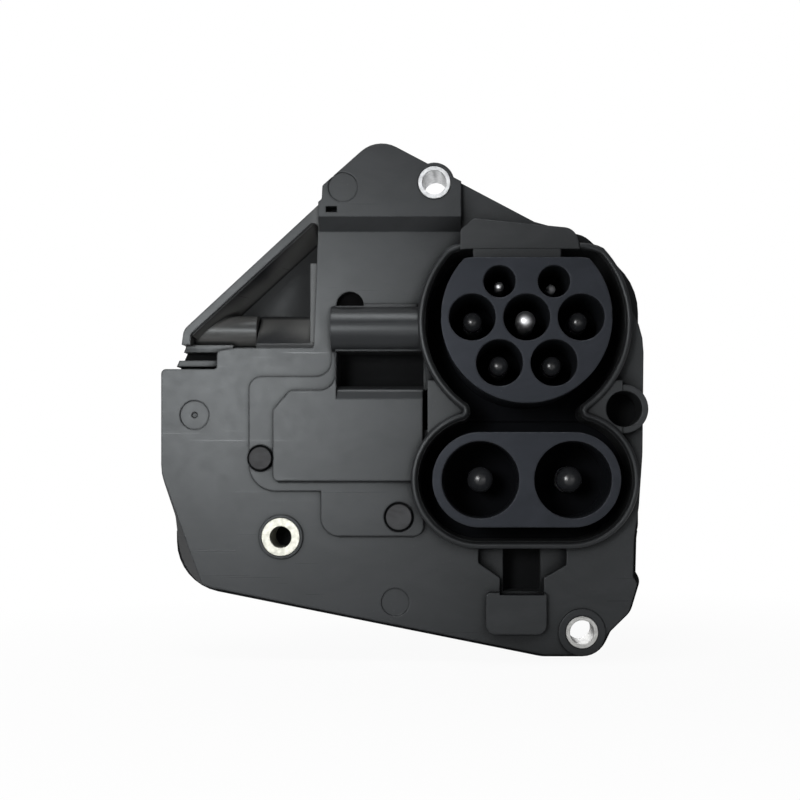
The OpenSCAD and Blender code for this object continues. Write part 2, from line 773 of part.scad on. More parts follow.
// Lock
module lock_actuator() {
  upper = actuator_screws[0];
  lower = actuator_screws[1];
  color("#26282b") difference() {
    union() {
      block(actuator_x - 17, actuator_x, lock_y - 5.2, y_flange + 2, lock_z - 6.4, lock_z + 9);
      block(actuator_x - 29, actuator_x, y_flange + 0.3, y_back - 7, -8, 14);
      for (p = actuator_screws) rod(p, y_flange, y_flange + 3, screw_d + 4);
      block(upper[0] - 3.7, upper[0] + 3.7, y_flange + 0.3, y_flange + 3, 0, upper[1]);
      block(lower[0], actuator_x - 20, y_flange + 0.3, y_flange + 3, lower[1] - 3.7, 2);
    }
    across(actuator_x - 15.4, lock_y, lock_z, 20, lock_pin_d + 0.4);
    pierced(actuator_screws, 0, 90, screw_d + 0.4);
  }
}
module actuator_fixings() {
  color("#9a9da3") for (p = actuator_screws) screw(p, y_flange + 3, 11);
}
module lock_pin() {
  color("#b9bcc1") {
    across(actuator_x - 14.6, lock_y, lock_z, lock_tip_x - actuator_x + 13.6, lock_pin_d);
    translate([lock_tip_x - 1, lock_y, lock_z]) rotate([0, 90, 0])
      cylinder(h = 1, d1 = lock_pin_d, d2 = lock_pin_d - 1.6, $fn = round_fn);
  }
}
module lock_seal() {
  color("#101113") difference() {
    across(guide_back, lock_y, lock_z, 2.4, lock_pin_d + 3.2);
    across(guide_back - 1, lock_y, lock_z, 6, lock_pin_d + 0.3);
  }
}

// Rear cover and what passes through it
gland_at = [0, -3];
header_at = [-59, -12];
module cover_gasket() {
  color("#101113") slab(y_mount, y_flange) difference() {
    shape(cover_outline);
    shape(inset(cover_outline, cover_wall));
  }
}
module rear_cover() {
  color("#1b1c1e") difference() {
    union() {
      slab(y_flange, y_back - 3) shape(cover_outline);
      hull() {
        slab(y_back - 3.1, y_back - 3) shape(cover_outline);
        slab(y_back - 0.1, y_back) shape(inset(cover_outline, 2));
      }
      for (i = [0 : 3]) block(-76 + 9 * i, -74.2 + 9 * i, y_back - 1, y_back + 1.2, -38, -26);
      for (p = cover_screws) {
        rod(p, y_flange, y_flange + 3, screw_d + 4.6);
      }
      slab(y_flange, y_flange + 3) intersection() {
        shape(inset(cover_outline, -2.4));
        shape(inset(outline, 0.4));
      }
      rod(gland_at, y_back - 3, y_back + 1.2, ac_gland_bore + 15);
      for (s = [-1, 1]) rod([s * dc_x, -dc_drop], y_back - 3, y_back + 1.2, dc_gland_bore + 9.4);
    }
    slab(y_flange - 1, y_back - cover_wall - 0.4) shape(inset(cover_outline, cover_wall));
    pierced(cover_screws, 0, 90, screw_d + 0.4);
    rod(gland_at, 0, 120, ac_gland_bore + 7.4);
    for (s = [-1, 1]) rod([s * dc_x, -dc_drop], 0, 120, dc_gland_bore + 5.4);
    header_block(header_w + 0.4, header_h + 0.4, 40, 120);
  }
}
module cover_fixings() {
  color("#9a9da3") for (p = cover_screws) screw(p, y_flange + 3, 12);
}
module gland(at, bore_d) {
  color("#15161a") difference() {
    union() {
      rod(at, y_back - cover_wall - 3, y_back + gland_length, bore_d + 5);
      rod(at, y_back + 1.2, y_back + 3.6, bore_d + 8.6);
      for (i = [0 : 2]) rod(at, y_back + 6 + 3 * i, y_back + 7.6 + 3 * i, bore_d + 6.4);
    }
    rod(at, 0, 160, bore_d);
  }
}
module ac_gland() {
  gland(gland_at, ac_gland_bore);
}
module dc_plus_gland() {
  gland([dc_x, -dc_drop], dc_gland_bore);
}
module dc_minus_gland() {
  gland([-dc_x, -dc_drop], dc_gland_bore);
}
module header_block(w, h, y0, y1) {
  slab(y0, y1) translate(header_at) square([w, h], center = true);
}
module signal_header() {
  color("#2a2c2f") difference() {
    union() {
      header_block(header_w, header_h, y_back - 5.5, y_back + header_reach);
      header_block(header_w + 6, header_h + 6, y_back, y_back + 2.2);
    }
    header_block(header_w - 3.6, header_h - 3.6, y_back - 2.5, y_back + header_reach + 1);
    for (i = [0 : 5], s = [-1, 1])
      rod([header_at[0] - 10 + 4 * i, header_at[1] + 2.6 * s], y_back - 9, y_back, 1 + 2 * fit_gap);
  }
}
module header_pins() {
  color("#c8a75a") for (i = [0 : 5], s = [-1, 1])
    rod([header_at[0] - 10 + 4 * i, header_at[1] + 2.6 * s], y_back - 6.4, y_back + 7, 1);
}

// Node that is drawn
front_housing();
ac_insulator();
dc_insulator();
inlet_gasket();
earth_contact();
neutral_contact();
line_1_contact();
line_2_contact();
line_3_contact();
proximity_contact();
pilot_contact();
dc_plus_contact();
dc_minus_contact();
ac_tip_caps();
dc_tip_caps();
retainer_plate();
retainer_fixings();
temperature_board();
upper_bush();
lower_bush();
left_bush();
left_buffer();
right_buffer();
lock_actuator();
actuator_fixings();
lock_pin();
lock_seal();
cover_gasket();
rear_cover();
cover_fixings();
ac_gland();
dc_plus_gland();
dc_minus_gland();
signal_header();
header_pins();
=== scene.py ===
"""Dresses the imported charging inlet: grained mouldings, plated metal, rubber parts and the photo stage."""

import math

import bmesh
import bpy
from bpy.props import FloatProperty, FloatVectorProperty, PointerProperty
from bpy.types import Operator, Panel, PropertyGroup
from mathutils import Matrix, Vector


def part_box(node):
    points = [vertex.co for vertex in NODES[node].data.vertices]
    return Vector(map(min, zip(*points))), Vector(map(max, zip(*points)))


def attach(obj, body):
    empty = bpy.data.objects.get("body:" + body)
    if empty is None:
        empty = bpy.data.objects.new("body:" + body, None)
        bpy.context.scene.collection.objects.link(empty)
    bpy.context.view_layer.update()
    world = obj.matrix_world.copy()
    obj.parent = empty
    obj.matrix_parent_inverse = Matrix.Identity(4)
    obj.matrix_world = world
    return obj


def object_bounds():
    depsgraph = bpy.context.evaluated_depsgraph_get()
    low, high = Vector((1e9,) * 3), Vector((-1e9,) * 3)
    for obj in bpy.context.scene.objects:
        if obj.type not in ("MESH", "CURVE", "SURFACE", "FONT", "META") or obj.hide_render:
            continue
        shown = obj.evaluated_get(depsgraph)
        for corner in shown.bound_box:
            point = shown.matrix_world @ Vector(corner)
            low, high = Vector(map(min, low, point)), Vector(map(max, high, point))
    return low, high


bl_info = {
    "name": "Charging Inlet",
    "version": (1, 0, 0),
    "blender": (4, 5, 0),
    "location": "View3D > Sidebar > Inlet",
    "description": "Builds the looks of a combined AC and DC charging inlet on its packed frame",
    "category": "Object",
}

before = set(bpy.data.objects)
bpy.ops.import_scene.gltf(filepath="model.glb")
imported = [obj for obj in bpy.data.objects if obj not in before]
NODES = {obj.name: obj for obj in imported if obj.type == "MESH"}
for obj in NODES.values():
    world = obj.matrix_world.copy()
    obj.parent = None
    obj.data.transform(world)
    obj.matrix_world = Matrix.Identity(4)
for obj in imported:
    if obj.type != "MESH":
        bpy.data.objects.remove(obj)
CAD_LOW, CAD_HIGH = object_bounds()

# Hinge pocket, where painted light takes the place of painted shade: its right wall, its foot and its floor,
# in metres
POCKET_RIGHT, POCKET_FOOT, POCKET_FLOOR = -0.064, -0.0075, 0.0295
# Collar: level of its rim, half pitch and drop of the DC side, tip of the web, ease beside the AC flat
RIM_LEVEL, DC_HALF, DC_DROP = 0.0125, 0.01375, -0.0478
WEB_TIP, FLAT_EASE = (0.0197, -0.0269), (0.01646, 0.0088)
# Height of the rim's middle over the AC flat, and the half width and half thickness of its bead
BEAD_TOP, BEAD_WIDTH, BEAD_RISE = 0.0229, 0.00105, 0.00075
# Lip under the hood: its middle, its size and the break of its edges
LIP_MIDDLE, LIP_SIZE, LIP_BREAK = (-0.0025, 0.01156, 0.021), (0.0268, 0.0017, 0.0042), 0.0003
# Faces that meet at less than these angles are shaded as one
SOLID_CREASE, TRIM_CREASE = math.radians(32.0), math.radians(40.0)
# Stage: the eye, what it looks at, the shift of its picture and the lamps with their place, target and size
EYE, EYE_TARGET, PICTURE_SHIFT = (-0.0152, -0.4, -0.0464), (-0.0152, 0.0, -0.0464), (-0.09375, 0.09375)
LAMPS = {
    "key": ((-0.205, -0.58, 0.036), (-0.07, 0.02, -0.03), 0.14),
    "fill": ((-0.12, -0.25, 0.6), (-0.04, 0.03, -0.02), 0.25),
    "side": ((0.19, -0.5, -0.03), (0.0, 0.03, -0.02), 0.2),
    "back": ((-0.03, 0.65, 0.02), (-0.02, 0.05, -0.02), 0.3),
}
FLOOR_HALF, FLOOR_GAP = 3.0, 0.0002


def colour(label, about, default):
    """A colour that the panel shows."""
    return FloatVectorProperty(
        name=label, description=about, subtype="COLOR", size=3, min=0.0, max=1.0, default=default
    )


def length(label, about, default):
    """A length in metres that the panel shows."""
    return FloatProperty(name=label, description=about, default=default, min=0.0, unit="LENGTH", precision=5)


def share(label, about, default, high=1.0):
    """A plain number that the panel shows."""
    return FloatProperty(name=label, description=about, default=default, min=0.0, max=high)


class InletEdges(PropertyGroup):
    """Rounding of the moulded and turned edges."""

    housing: length("Housing", "Rounding of the moulded edges of the housing", 0.0006)
    tower: length("Insulator towers", "Rounding of the edges of both insulators", 0.0007)
    turned: length("Turned metal", "Break of the edges of bushes, pins and screws", 0.00035)
    rubber: length("Rubber", "Rounding of seals, buffers and glands", 0.0005)
    cover: length("Rear cover", "Rounding of the edges of the rear cover", 0.0009)


class InletFinish(PropertyGroup):
    """Colours and grain of the finishes."""

    housing: colour("Housing", "Black glass filled moulding", (0.0155, 0.0162, 0.0178))
    insulator: colour("Insulators", "Black moulding of the contact carriers", (0.0125, 0.0135, 0.0165))
    cover: colour("Rear cover", "Black moulding of the cover", (0.015, 0.0155, 0.0165))
    grey: colour("Grey mouldings", "Retainer and header", (0.034, 0.036, 0.04))
    # Darker than the other black mouldings, which also paints the shade in the half-round hole where the
    # actuator shows
    case: colour("Actuator case", "Dull black moulding of the lock actuator", (0.006, 0.006, 0.0066))
    rubber: colour("Rubber", "Seals, buffers and glands", (0.011, 0.011, 0.012))
    cap: colour("Tip caps", "Touch safe tips of the pins", (0.018, 0.019, 0.021))
    plate: colour("Plated contacts", "Bright plating of the contacts", (0.79, 0.8, 0.82))
    zinc: colour("Zinc plating", "Plating of the upper bush", (0.52, 0.53, 0.54))
    # Darker than the upper bush's plating: painted shade on the lower bush
    shaded_plating: colour("Shaded plating", "Plating of the lower bush", (0.42, 0.42, 0.41))
    insert: colour("Pale plating", "Plating of the left bush", (0.56, 0.56, 0.5))
    steel: colour("Steel", "Screws and lock pin", (0.5, 0.51, 0.53))
    gold: colour("Gold", "Pins of the signal header", (0.8, 0.58, 0.24))
    board: colour("Circuit board", "Lacquer of the temperature board", (0.012, 0.085, 0.04))
    # Lighter tone of worn edges, which also paints a highlight along them
    edge_wear_sheen: colour("Worn edges and painted highlight", "Tone of worn edges, which also paints their highlight", (0.075, 0.078, 0.084))
    grain: length("Grain", "Size of the moulded grain", 0.00045)


class InletStage(PropertyGroup):
    """Camera and lamps of the photo stage."""

    lens: share("Lens", "Focal length in millimetres", 61.3, 300.0)
    key: share("Key lamp", "Power of the soft lamp on the left", 1.9, 50.0)
    fill: share("Fill lamp", "Power of the soft lamp above", 2.0, 50.0)
    side: share("Side lamp", "Power of the weak lamp on the right", 0.22, 50.0)
    back: share("Back lamp", "Power of the soft lamp behind", 1.6, 50.0)
    ambient: share("Ambient", "Strength of the room's light", 0.25, 5.0)


# Shader groups


def add(tree, kind, values=None, **settings):
    """One node with its settings and socket values."""
    made = tree.nodes.new(kind)
    for key, value in settings.items():
        setattr(made, key, value)
    for key, value in (values or {}).items():
        made.inputs[key].default_value = value
    return made


def ramp(tree, low, high, start=0.0, end=1.0, **settings):
    """A node that maps the span of a value to another span and holds both ends."""
    span = {"From Min": low, "From Max": high, "To Min": start, "To Max": end}
    return add(tree, "ShaderNodeMapRange", span, **settings)


def wire(tree, *links):
    """Joins sockets, each link given as an output and an input."""
    for source, target in links:
        tree.links.new(source, target)


def new_group(name, inputs, outputs):
    """An empty shader group with its sockets, and its two end nodes."""
    tree = bpy.data.node_groups.new(name, "ShaderNodeTree")
    for label, kind, value in inputs:
        made = tree.interface.new_socket(label, in_out="INPUT", socket_type=kind)
        if value is not None:
            made.default_value = value
    for label, kind in outputs:
        tree.interface.new_socket(label, in_out="OUTPUT", socket_type=kind)
    return tree, tree.nodes.new("NodeGroupInput"), tree.nodes.new("NodeGroupOutput")


def grain_group():
    """Fine pebbled skin of a moulding."""
    tree, given, out = new_group(
        "Moulded grain",
        [("Scale", "NodeSocketFloat", 2200.0)],
        [("Height", "NodeSocketFloat"), ("Tone", "NodeSocketFloat")],
    )
    place = add(tree, "ShaderNodeTexCoord")
    pebbles = add(tree, "ShaderNodeTexNoise", {"Detail": 2.0, "Roughness": 0.6})
    finer = add(tree, "ShaderNodeMath", {1: 2.7}, operation="MULTIPLY")
    fibres = add(tree, "ShaderNodeTexVoronoi", {"Randomness": 1.0}, feature="SMOOTH_F1")
    coarser = add(tree, "ShaderNodeMath", {1: 0.12}, operation="MULTIPLY")
    clouds = add(tree, "ShaderNodeTexNoise", {"Detail": 3.0, "Roughness": 0.55})
    height = add(tree, "ShaderNodeMath", {1: 0.35}, operation="MULTIPLY_ADD")
    wire(
        tree,
        (given.outputs["Scale"], pebbles.inputs["Scale"]),
        (given.outputs["Scale"], finer.inputs[0]),
        (given.outputs["Scale"], coarser.inputs[0]),
        (finer.outputs[0], fibres.inputs["Scale"]),
        (coarser.outputs[0], clouds.inputs["Scale"]),
        (place.outputs["Object"], pebbles.inputs["Vector"]),
        (place.outputs["Object"], fibres.inputs["Vector"]),
        (place.outputs["Object"], clouds.inputs["Vector"]),
        (fibres.outputs["Distance"], height.inputs[0]),
        (pebbles.outputs["Fac"], height.inputs[2]),
        (height.outputs[0], out.inputs["Height"]),
        (clouds.outputs["Fac"], out.inputs["Tone"]),
    )
    return tree


def flow_group():
    """Broad cloudy marks where the melt flowed, and the smear of handling."""
    tree, given, out = new_group(
        "Flow marks",
        [("Scale", "NodeSocketFloat", 40.0)],
        [("Tone", "NodeSocketFloat"), ("Smear", "NodeSocketFloat")],
    )
    place = add(tree, "ShaderNodeTexCoord")
    stretch = add(tree, "ShaderNodeMapping", {"Rotation": (0.0, 0.35, 0.0), "Scale": (1.0, 1.0, 2.2)})
    clouds = add(tree, "ShaderNodeTexNoise", {"Detail": 4.0, "Roughness": 0.6, "Distortion": 0.8})
    finer = add(tree, "ShaderNodeMath", {1: 3.4}, operation="MULTIPLY")
    smear = add(tree, "ShaderNodeTexNoise", {"Detail": 3.0, "Distortion": 1.5})
    spread = ramp(tree, 0.32, 0.68, interpolation_type="SMOOTHSTEP")
    wire(
        tree,
        (place.outputs["Object"], stretch.inputs["Vector"]),
        (stretch.outputs[0], clouds.inputs["Vector"]),
        (place.outputs["Object"], smear.inputs["Vector"]),
        (given.outputs["Scale"], clouds.inputs["Scale"]),
        (given.outputs["Scale"], finer.inputs[0]),
        (finer.outputs[0], smear.inputs["Scale"]),
        (clouds.outputs["Fac"], spread.inputs["Value"]),
        (spread.outputs["Result"], out.inputs["Tone"]),
        (smear.outputs["Fac"], out.inputs["Smear"]),
    )
    return tree


def edge_group():
    """Rounded edges: their normal, and a patchy mask along them, where edges are worn and a painted
    highlight is laid.
    """
    tree, given, out = new_group(
        "Eased edges",
        [("Radius", "NodeSocketFloat", 0.0007), ("Breakup", "NodeSocketFloat", 420.0)],
        [("Mask", "NodeSocketFloat"), ("Normal", "NodeSocketVector")],
    )
    place = add(tree, "ShaderNodeTexCoord")
    eased = add(tree, "ShaderNodeBevel", samples=4)
    surface = add(tree, "ShaderNodeNewGeometry")
    turn = add(tree, "ShaderNodeVectorMath", operation="DOT_PRODUCT")
    edge = ramp(tree, 0.995, 0.88)
    noise = add(tree, "ShaderNodeTexNoise", {"Detail": 3.0, "Roughness": 0.65})
    patchy = ramp(tree, 0.38, 0.66)
    mask = add(tree, "ShaderNodeMath", operation="MULTIPLY")
    wire(
        tree,
        (given.outputs["Radius"], eased.inputs["Radius"]),
        (given.outputs["Breakup"], noise.inputs["Scale"]),
        (place.outputs["Object"], noise.inputs["Vector"]),
        (eased.outputs["Normal"], turn.inputs[0]),
        (surface.outputs["Normal"], turn.inputs[1]),
        (turn.outputs["Value"], edge.inputs["Value"]),
        (noise.outputs["Fac"], patchy.inputs["Value"]),
        (edge.outputs["Result"], mask.inputs[0]),
        (patchy.outputs["Result"], mask.inputs[1]),
        (mask.outputs[0], out.inputs["Mask"]),
        (eased.outputs["Normal"], out.inputs["Normal"]),
    )
    return tree


def painted_recess_group():
    """Masks of painted shade, which darkens deep recesses, surfaces further back and the feet of steps, and
    of painted light, a pale tone laid instead in the hinge pocket.
    """
    tree, given, out = new_group(
        "Recesses",
        [("Depth", "NodeSocketFloat", 0.014), ("Crease", "NodeSocketFloat", 0.0016)],
        [("Mask", "NodeSocketFloat"), ("Film", "NodeSocketFloat")],
    )
    # Painted shade: the wide occlusion darkens deep recesses, the near one the feet of steps
    wide = add(tree, "ShaderNodeAmbientOcclusion", samples=4)
    near = add(tree, "ShaderNodeAmbientOcclusion", samples=4)
    deep = ramp(tree, 0.45, 0.9, 1.0, 0.0)
    foot = ramp(tree, 0.55, 0.96, 0.8, 0.0)
    place = add(tree, "ShaderNodeTexCoord")
    split = add(tree, "ShaderNodeSeparateXYZ")
    # More painted shade on surfaces further back
    behind = ramp(tree, 0.02, 0.025, 1.0, 2.6)
    # In the hinge pocket, a pale painted light replaces the painted shade
    left = ramp(tree, POCKET_RIGHT, POCKET_RIGHT + 0.0015, 1.0, 0.0)
    high = ramp(tree, POCKET_FOOT, POCKET_FOOT + 0.0015)
    above = ramp(tree, POCKET_FLOOR, POCKET_FLOOR + 0.0013, 1.0, 0.2)
    corner = add(tree, "ShaderNodeMath", operation="MULTIPLY")
    pocket = add(tree, "ShaderNodeMath", operation="MULTIPLY")
    clear = add(tree, "ShaderNodeMath", {0: 1.0}, operation="SUBTRACT")
    deeper = add(tree, "ShaderNodeMath", operation="MULTIPLY", use_clamp=True)
    shaded = add(tree, "ShaderNodeMath", operation="MULTIPLY")
    pocket_light = add(tree, "ShaderNodeMath", operation="MULTIPLY")
    both = add(tree, "ShaderNodeMath", operation="MAXIMUM")
    wire(
        tree,
        (given.outputs["Depth"], wide.inputs["Distance"]),
        (given.outputs["Crease"], near.inputs["Distance"]),
        (wide.outputs["AO"], deep.inputs["Value"]),
        (near.outputs["AO"], foot.inputs["Value"]),
        (place.outputs["Object"], split.inputs[0]),
        (split.outputs["X"], left.inputs["Value"]),
        (split.outputs["Y"], behind.inputs["Value"]),
        (split.outputs["Y"], above.inputs["Value"]),
        (split.outputs["Z"], high.inputs["Value"]),
        (left.outputs["Result"], corner.inputs[0]),
        (high.outputs["Result"], corner.inputs[1]),
        (corner.outputs[0], pocket.inputs[0]),
        (above.outputs["Result"], pocket.inputs[1]),
        (pocket.outputs[0], clear.inputs[1]),
        (deep.outputs["Result"], deeper.inputs[0]),
        (behind.outputs["Result"], deeper.inputs[1]),
        (deeper.outputs[0], shaded.inputs[0]),
        (clear.outputs[0], shaded.inputs[1]),
        (deeper.outputs[0], pocket_light.inputs[0]),
        (pocket.outputs[0], pocket_light.inputs[1]),
        (shaded.outputs[0], both.inputs[0]),
        (foot.outputs["Result"], both.inputs[1]),
        (both.outputs[0], out.inputs["Mask"]),
        (pocket_light.outputs[0], out.inputs["Film"]),
    )
    return tree


def scratch_group():
    """Faint straight scuffs in two directions across the face."""
    tree, given, out = new_group(
        "Scuffs", [("Density", "NodeSocketFloat", 0.5)], [("Mask", "NodeSocketFloat")]
    )
    place = add(tree, "ShaderNodeTexCoord")
    limit = ramp(tree, 0.0, 1.0, 0.8, 0.62)
    wire(tree, (given.outputs["Density"], limit.inputs["Value"]))
    marks = []
    for turn, along, apart in ((0.7, 14.0, 1500.0), (-1.05, 22.0, 1900.0)):
        lay = add(tree, "ShaderNodeMapping", {"Rotation": (0.0, turn, 0.0), "Scale": (along, along, apart)})
        lines = add(tree, "ShaderNodeTexNoise", {"Scale": 1.0, "Detail": 1.0})
        over = add(tree, "ShaderNodeMath", operation="SUBTRACT")
        sharpen = add(tree, "ShaderNodeMath", {1: 14.0}, operation="MULTIPLY", use_clamp=True)
        wire(
            tree,
            (place.outputs["Object"], lay.inputs["Vector"]),
            (lay.outputs[0], lines.inputs["Vector"]),
            (lines.outputs["Fac"], over.inputs[0]),
            (limit.outputs["Result"], over.inputs[1]),
            (over.outputs[0], sharpen.inputs[0]),
        )
        marks.append(sharpen)
    both = add(tree, "ShaderNodeMath", operation="MAXIMUM")
    wire(tree, (marks[0].outputs[0], both.inputs[0]), (marks[1].outputs[0], both.inputs[1]))
    wire(tree, (both.outputs[0], out.inputs["Mask"]))
    return tree


def dust_group():
    """Sparse specks of dust, more of them on faces that look up."""
    tree, given, out = new_group(
        "Dust", [("Scale", "NodeSocketFloat", 520.0)], [("Mask", "NodeSocketFloat")]
    )
    place = add(tree, "ShaderNodeTexCoord")
    specks = add(tree, "ShaderNodeTexVoronoi", {"Randomness": 1.0})
    dots = ramp(tree, 0.16, 0.04)
    drift = add(tree, "ShaderNodeTexNoise", {"Scale": 65.0, "Detail": 2.0})
    settled = ramp(tree, 0.5, 0.75)
    surface = add(tree, "ShaderNodeNewGeometry")
    axes = add(tree, "ShaderNodeSeparateXYZ")
    rise = ramp(tree, -0.3, 1.0, 0.25, 1.0)
    some = add(tree, "ShaderNodeMath", operation="MULTIPLY")
    mask = add(tree, "ShaderNodeMath", operation="MULTIPLY")
    wire(
        tree,
        (given.outputs["Scale"], specks.inputs["Scale"]),
        (place.outputs["Object"], specks.inputs["Vector"]),
        (place.outputs["Object"], drift.inputs["Vector"]),
        (specks.outputs["Distance"], dots.inputs["Value"]),
        (drift.outputs["Fac"], settled.inputs["Value"]),
        (surface.outputs["Normal"], axes.inputs[0]),
        (axes.outputs["Z"], rise.inputs["Value"]),
        (dots.outputs["Result"], some.inputs[0]),
        (settled.outputs["Result"], some.inputs[1]),
        (some.outputs[0], mask.inputs[0]),
        (rise.outputs["Result"], mask.inputs[1]),
        (mask.outputs[0], out.inputs["Mask"]),
    )
    return tree


def turned_group():
    """Fine rings that a lathe tool leaves, and slow stains in the plating."""
    tree, given, out = new_group(
        "Turned rings",
        [("Vector", "NodeSocketVector", None), ("Pitch", "NodeSocketFloat", 16000.0)],
        [("Height", "NodeSocketFloat"), ("Stain", "NodeSocketFloat")],
    )
    axes = add(tree, "ShaderNodeSeparateXYZ")
    flat = add(tree, "ShaderNodeCombineXYZ")
    radius = add(tree, "ShaderNodeVectorMath", operation="LENGTH")
    steps = add(tree, "ShaderNodeMath", operation="MULTIPLY_ADD")
    travel = add(tree, "ShaderNodeMath", operation="MULTIPLY")
    rings = add(tree, "ShaderNodeMath", operation="SINE")
    stains = add(tree, "ShaderNodeTexNoise", {"Scale": 900.0, "Detail": 4.0, "Roughness": 0.6})
    wire(
        tree,
        (given.outputs["Vector"], axes.inputs[0]),
        (given.outputs["Vector"], stains.inputs["Vector"]),
        (axes.outputs["X"], flat.inputs["X"]),
        (axes.outputs["Z"], flat.inputs["Z"]),
        (flat.outputs[0], radius.inputs[0]),
        (axes.outputs["Y"], travel.inputs[0]),
        (given.outputs["Pitch"], travel.inputs[1]),
        (radius.outputs["Value"], steps.inputs[0]),
        (given.outputs["Pitch"], steps.inputs[1]),
        (travel.outputs[0], steps.inputs[2]),
        (steps.outputs[0], rings.inputs[0]),
        (rings.outputs[0], out.inputs["Height"]),
        (stains.outputs["Fac"], out.inputs["Stain"]),
    )
    return tree


GROUPS = {}


def shared(maker):
    """A node group, built the first time that it is asked for."""
    if maker.__name__ not in GROUPS:
        GROUPS[maker.__name__] = maker()
    return GROUPS[maker.__name__]


def use(tree, maker, **values):
    """A shader group placed in a finish with its own values."""
    placed = tree.nodes.new("ShaderNodeGroup")
    placed.node_tree = shared(maker)
    for key, value in values.items():
        placed.inputs[key].default_value = value
    return placed


# Finishes


def new_finish(name):
    """An empty material, its tree and its shader."""
    material = bpy.data.materials.new(name)
    material.use_nodes = True
    tree = material.node_tree
    return material, tree, tree.nodes["Principled BSDF"]


def mix(tree):
    """The sockets of a new colour mix: its factor, both colours and the result."""
    made = tree.nodes.new("ShaderNodeMix")
    made.data_type = "RGBA"
    return made.inputs["Factor"], made.inputs[6], made.inputs[7], made.outputs[2]


def rgba(tone, gain=1.0):
    """A colour with its gain, as a socket takes it."""
    return (tone[0] * gain, tone[1] * gain, tone[2] * gain, 1.0)


def moulded(
    name, tone, edge, rough=0.46, grain=0.00045, bump=0.12, gloss=0.5, scuffs=0.4, dust=0.3, hollow=0.014,
    sheen=(1.0, 1.0, 1.0),
):
    """Black or grey moulded plastic with grain, flow marks, worn edges that also carry a painted highlight,
    scuffs and dust, with painted shade in recesses and at step feet and painted light in the hinge pocket.
    """
    finish = bpy.context.scene.inlet_finish
    material, tree, shader = new_finish(name)
    shader.inputs["Specular IOR Level"].default_value = gloss
    shader.inputs["Specular Tint"].default_value = rgba(sheen)
    skin = use(tree, grain_group, Scale=1.0 / grain)
    flow = use(tree, flow_group, Scale=38.0)
    wear_sheen_edges = use(tree, edge_group, Radius=edge)
    lines = use(tree, scratch_group, Density=scuffs)
    specks = use(tree, dust_group)
    painted_recess = use(tree, painted_recess_group, Depth=hollow)
    body_by, body_a, body_b, body_out = mix(tree)
    body_a.default_value = rgba(tone, 0.84)
    body_b.default_value = rgba(tone, 1.2)
    # Lighter edge tone: real wear, and a painted highlight along the edges
    edge_sheen_by, edge_sheen_a, edge_sheen_b, edge_sheen_out = mix(tree)
    edge_sheen_b.default_value = rgba(finish.edge_wear_sheen)
    # Pale grey: real dust specks, and painted light on the hinge pocket's walls
    grey_by, grey_a, grey_b, grey_out = mix(tree)
    grey_b.default_value = (0.16, 0.16, 0.155, 1.0)
    # Near black: painted shade in deep recesses and at the feet of steps
    painted_shade_by, painted_shade_a, painted_shade_b, painted_shade_out = mix(tree)
    painted_shade_b.default_value = (0.0016, 0.0016, 0.0019, 1.0)
    matt = add(tree, "ShaderNodeMath", {1: 0.96}, operation="MULTIPLY")
    skinned = add(tree, "ShaderNodeMath", operation="MAXIMUM")
    edge_sheen_share = add(tree, "ShaderNodeMath", {1: 0.5}, operation="MULTIPLY")
    dust_by = add(tree, "ShaderNodeMath", {1: dust}, operation="MULTIPLY")
    dust_and_pocket_light = add(tree, "ShaderNodeMath", {1: 0.6}, operation="MULTIPLY_ADD", use_clamp=True)
    smear = ramp(tree, 0.3, 0.7, rough - 0.01, rough + 0.012)
    dull = add(tree, "ShaderNodeMath", {1: 0.06}, operation="MULTIPLY_ADD")
    polish = add(tree, "ShaderNodeMath", {1: -0.12}, operation="MULTIPLY_ADD", use_clamp=True)
    relief = add(tree, "ShaderNodeMath", {1: 0.25}, operation="MULTIPLY_ADD")
    raise_ = add(tree, "ShaderNodeBump", {"Strength": bump, "Distance": 0.00012})
    wire(
        tree,
        (flow.outputs["Tone"], body_by),
        (body_out, edge_sheen_a),
        (wear_sheen_edges.outputs["Mask"], edge_sheen_share.inputs[0]),
        (edge_sheen_share.outputs[0], edge_sheen_by),
        (edge_sheen_out, grey_a),
        (specks.outputs["Mask"], dust_by.inputs[0]),
        (dust_by.outputs[0], dust_and_pocket_light.inputs[2]),
        (painted_recess.outputs["Film"], dust_and_pocket_light.inputs[0]),
        (dust_and_pocket_light.outputs[0], grey_by),
        (grey_out, painted_shade_a),
        (painted_recess.outputs["Mask"], painted_shade_by),
        (painted_shade_out, shader.inputs["Base Color"]),
        (flow.outputs["Smear"], smear.inputs["Value"]),
        (skin.outputs["Tone"], dull.inputs[0]),
        (smear.outputs["Result"], dull.inputs[2]),
        (lines.outputs["Mask"], polish.inputs[0]),
        (dull.outputs[0], polish.inputs[2]),
        (painted_recess.outputs["Mask"], matt.inputs[0]),
        (matt.outputs[0], skinned.inputs[0]),
        (polish.outputs[0], skinned.inputs[1]),
        (skinned.outputs[0], shader.inputs["Roughness"]),
        (lines.outputs["Mask"], relief.inputs[0]),
        (skin.outputs["Height"], relief.inputs[2]),
        (relief.outputs[0], raise_.inputs["Height"]),
        (wear_sheen_edges.outputs["Normal"], raise_.inputs["Normal"]),
        (raise_.outputs["Normal"], shader.inputs["Normal"]),
    )
    return material


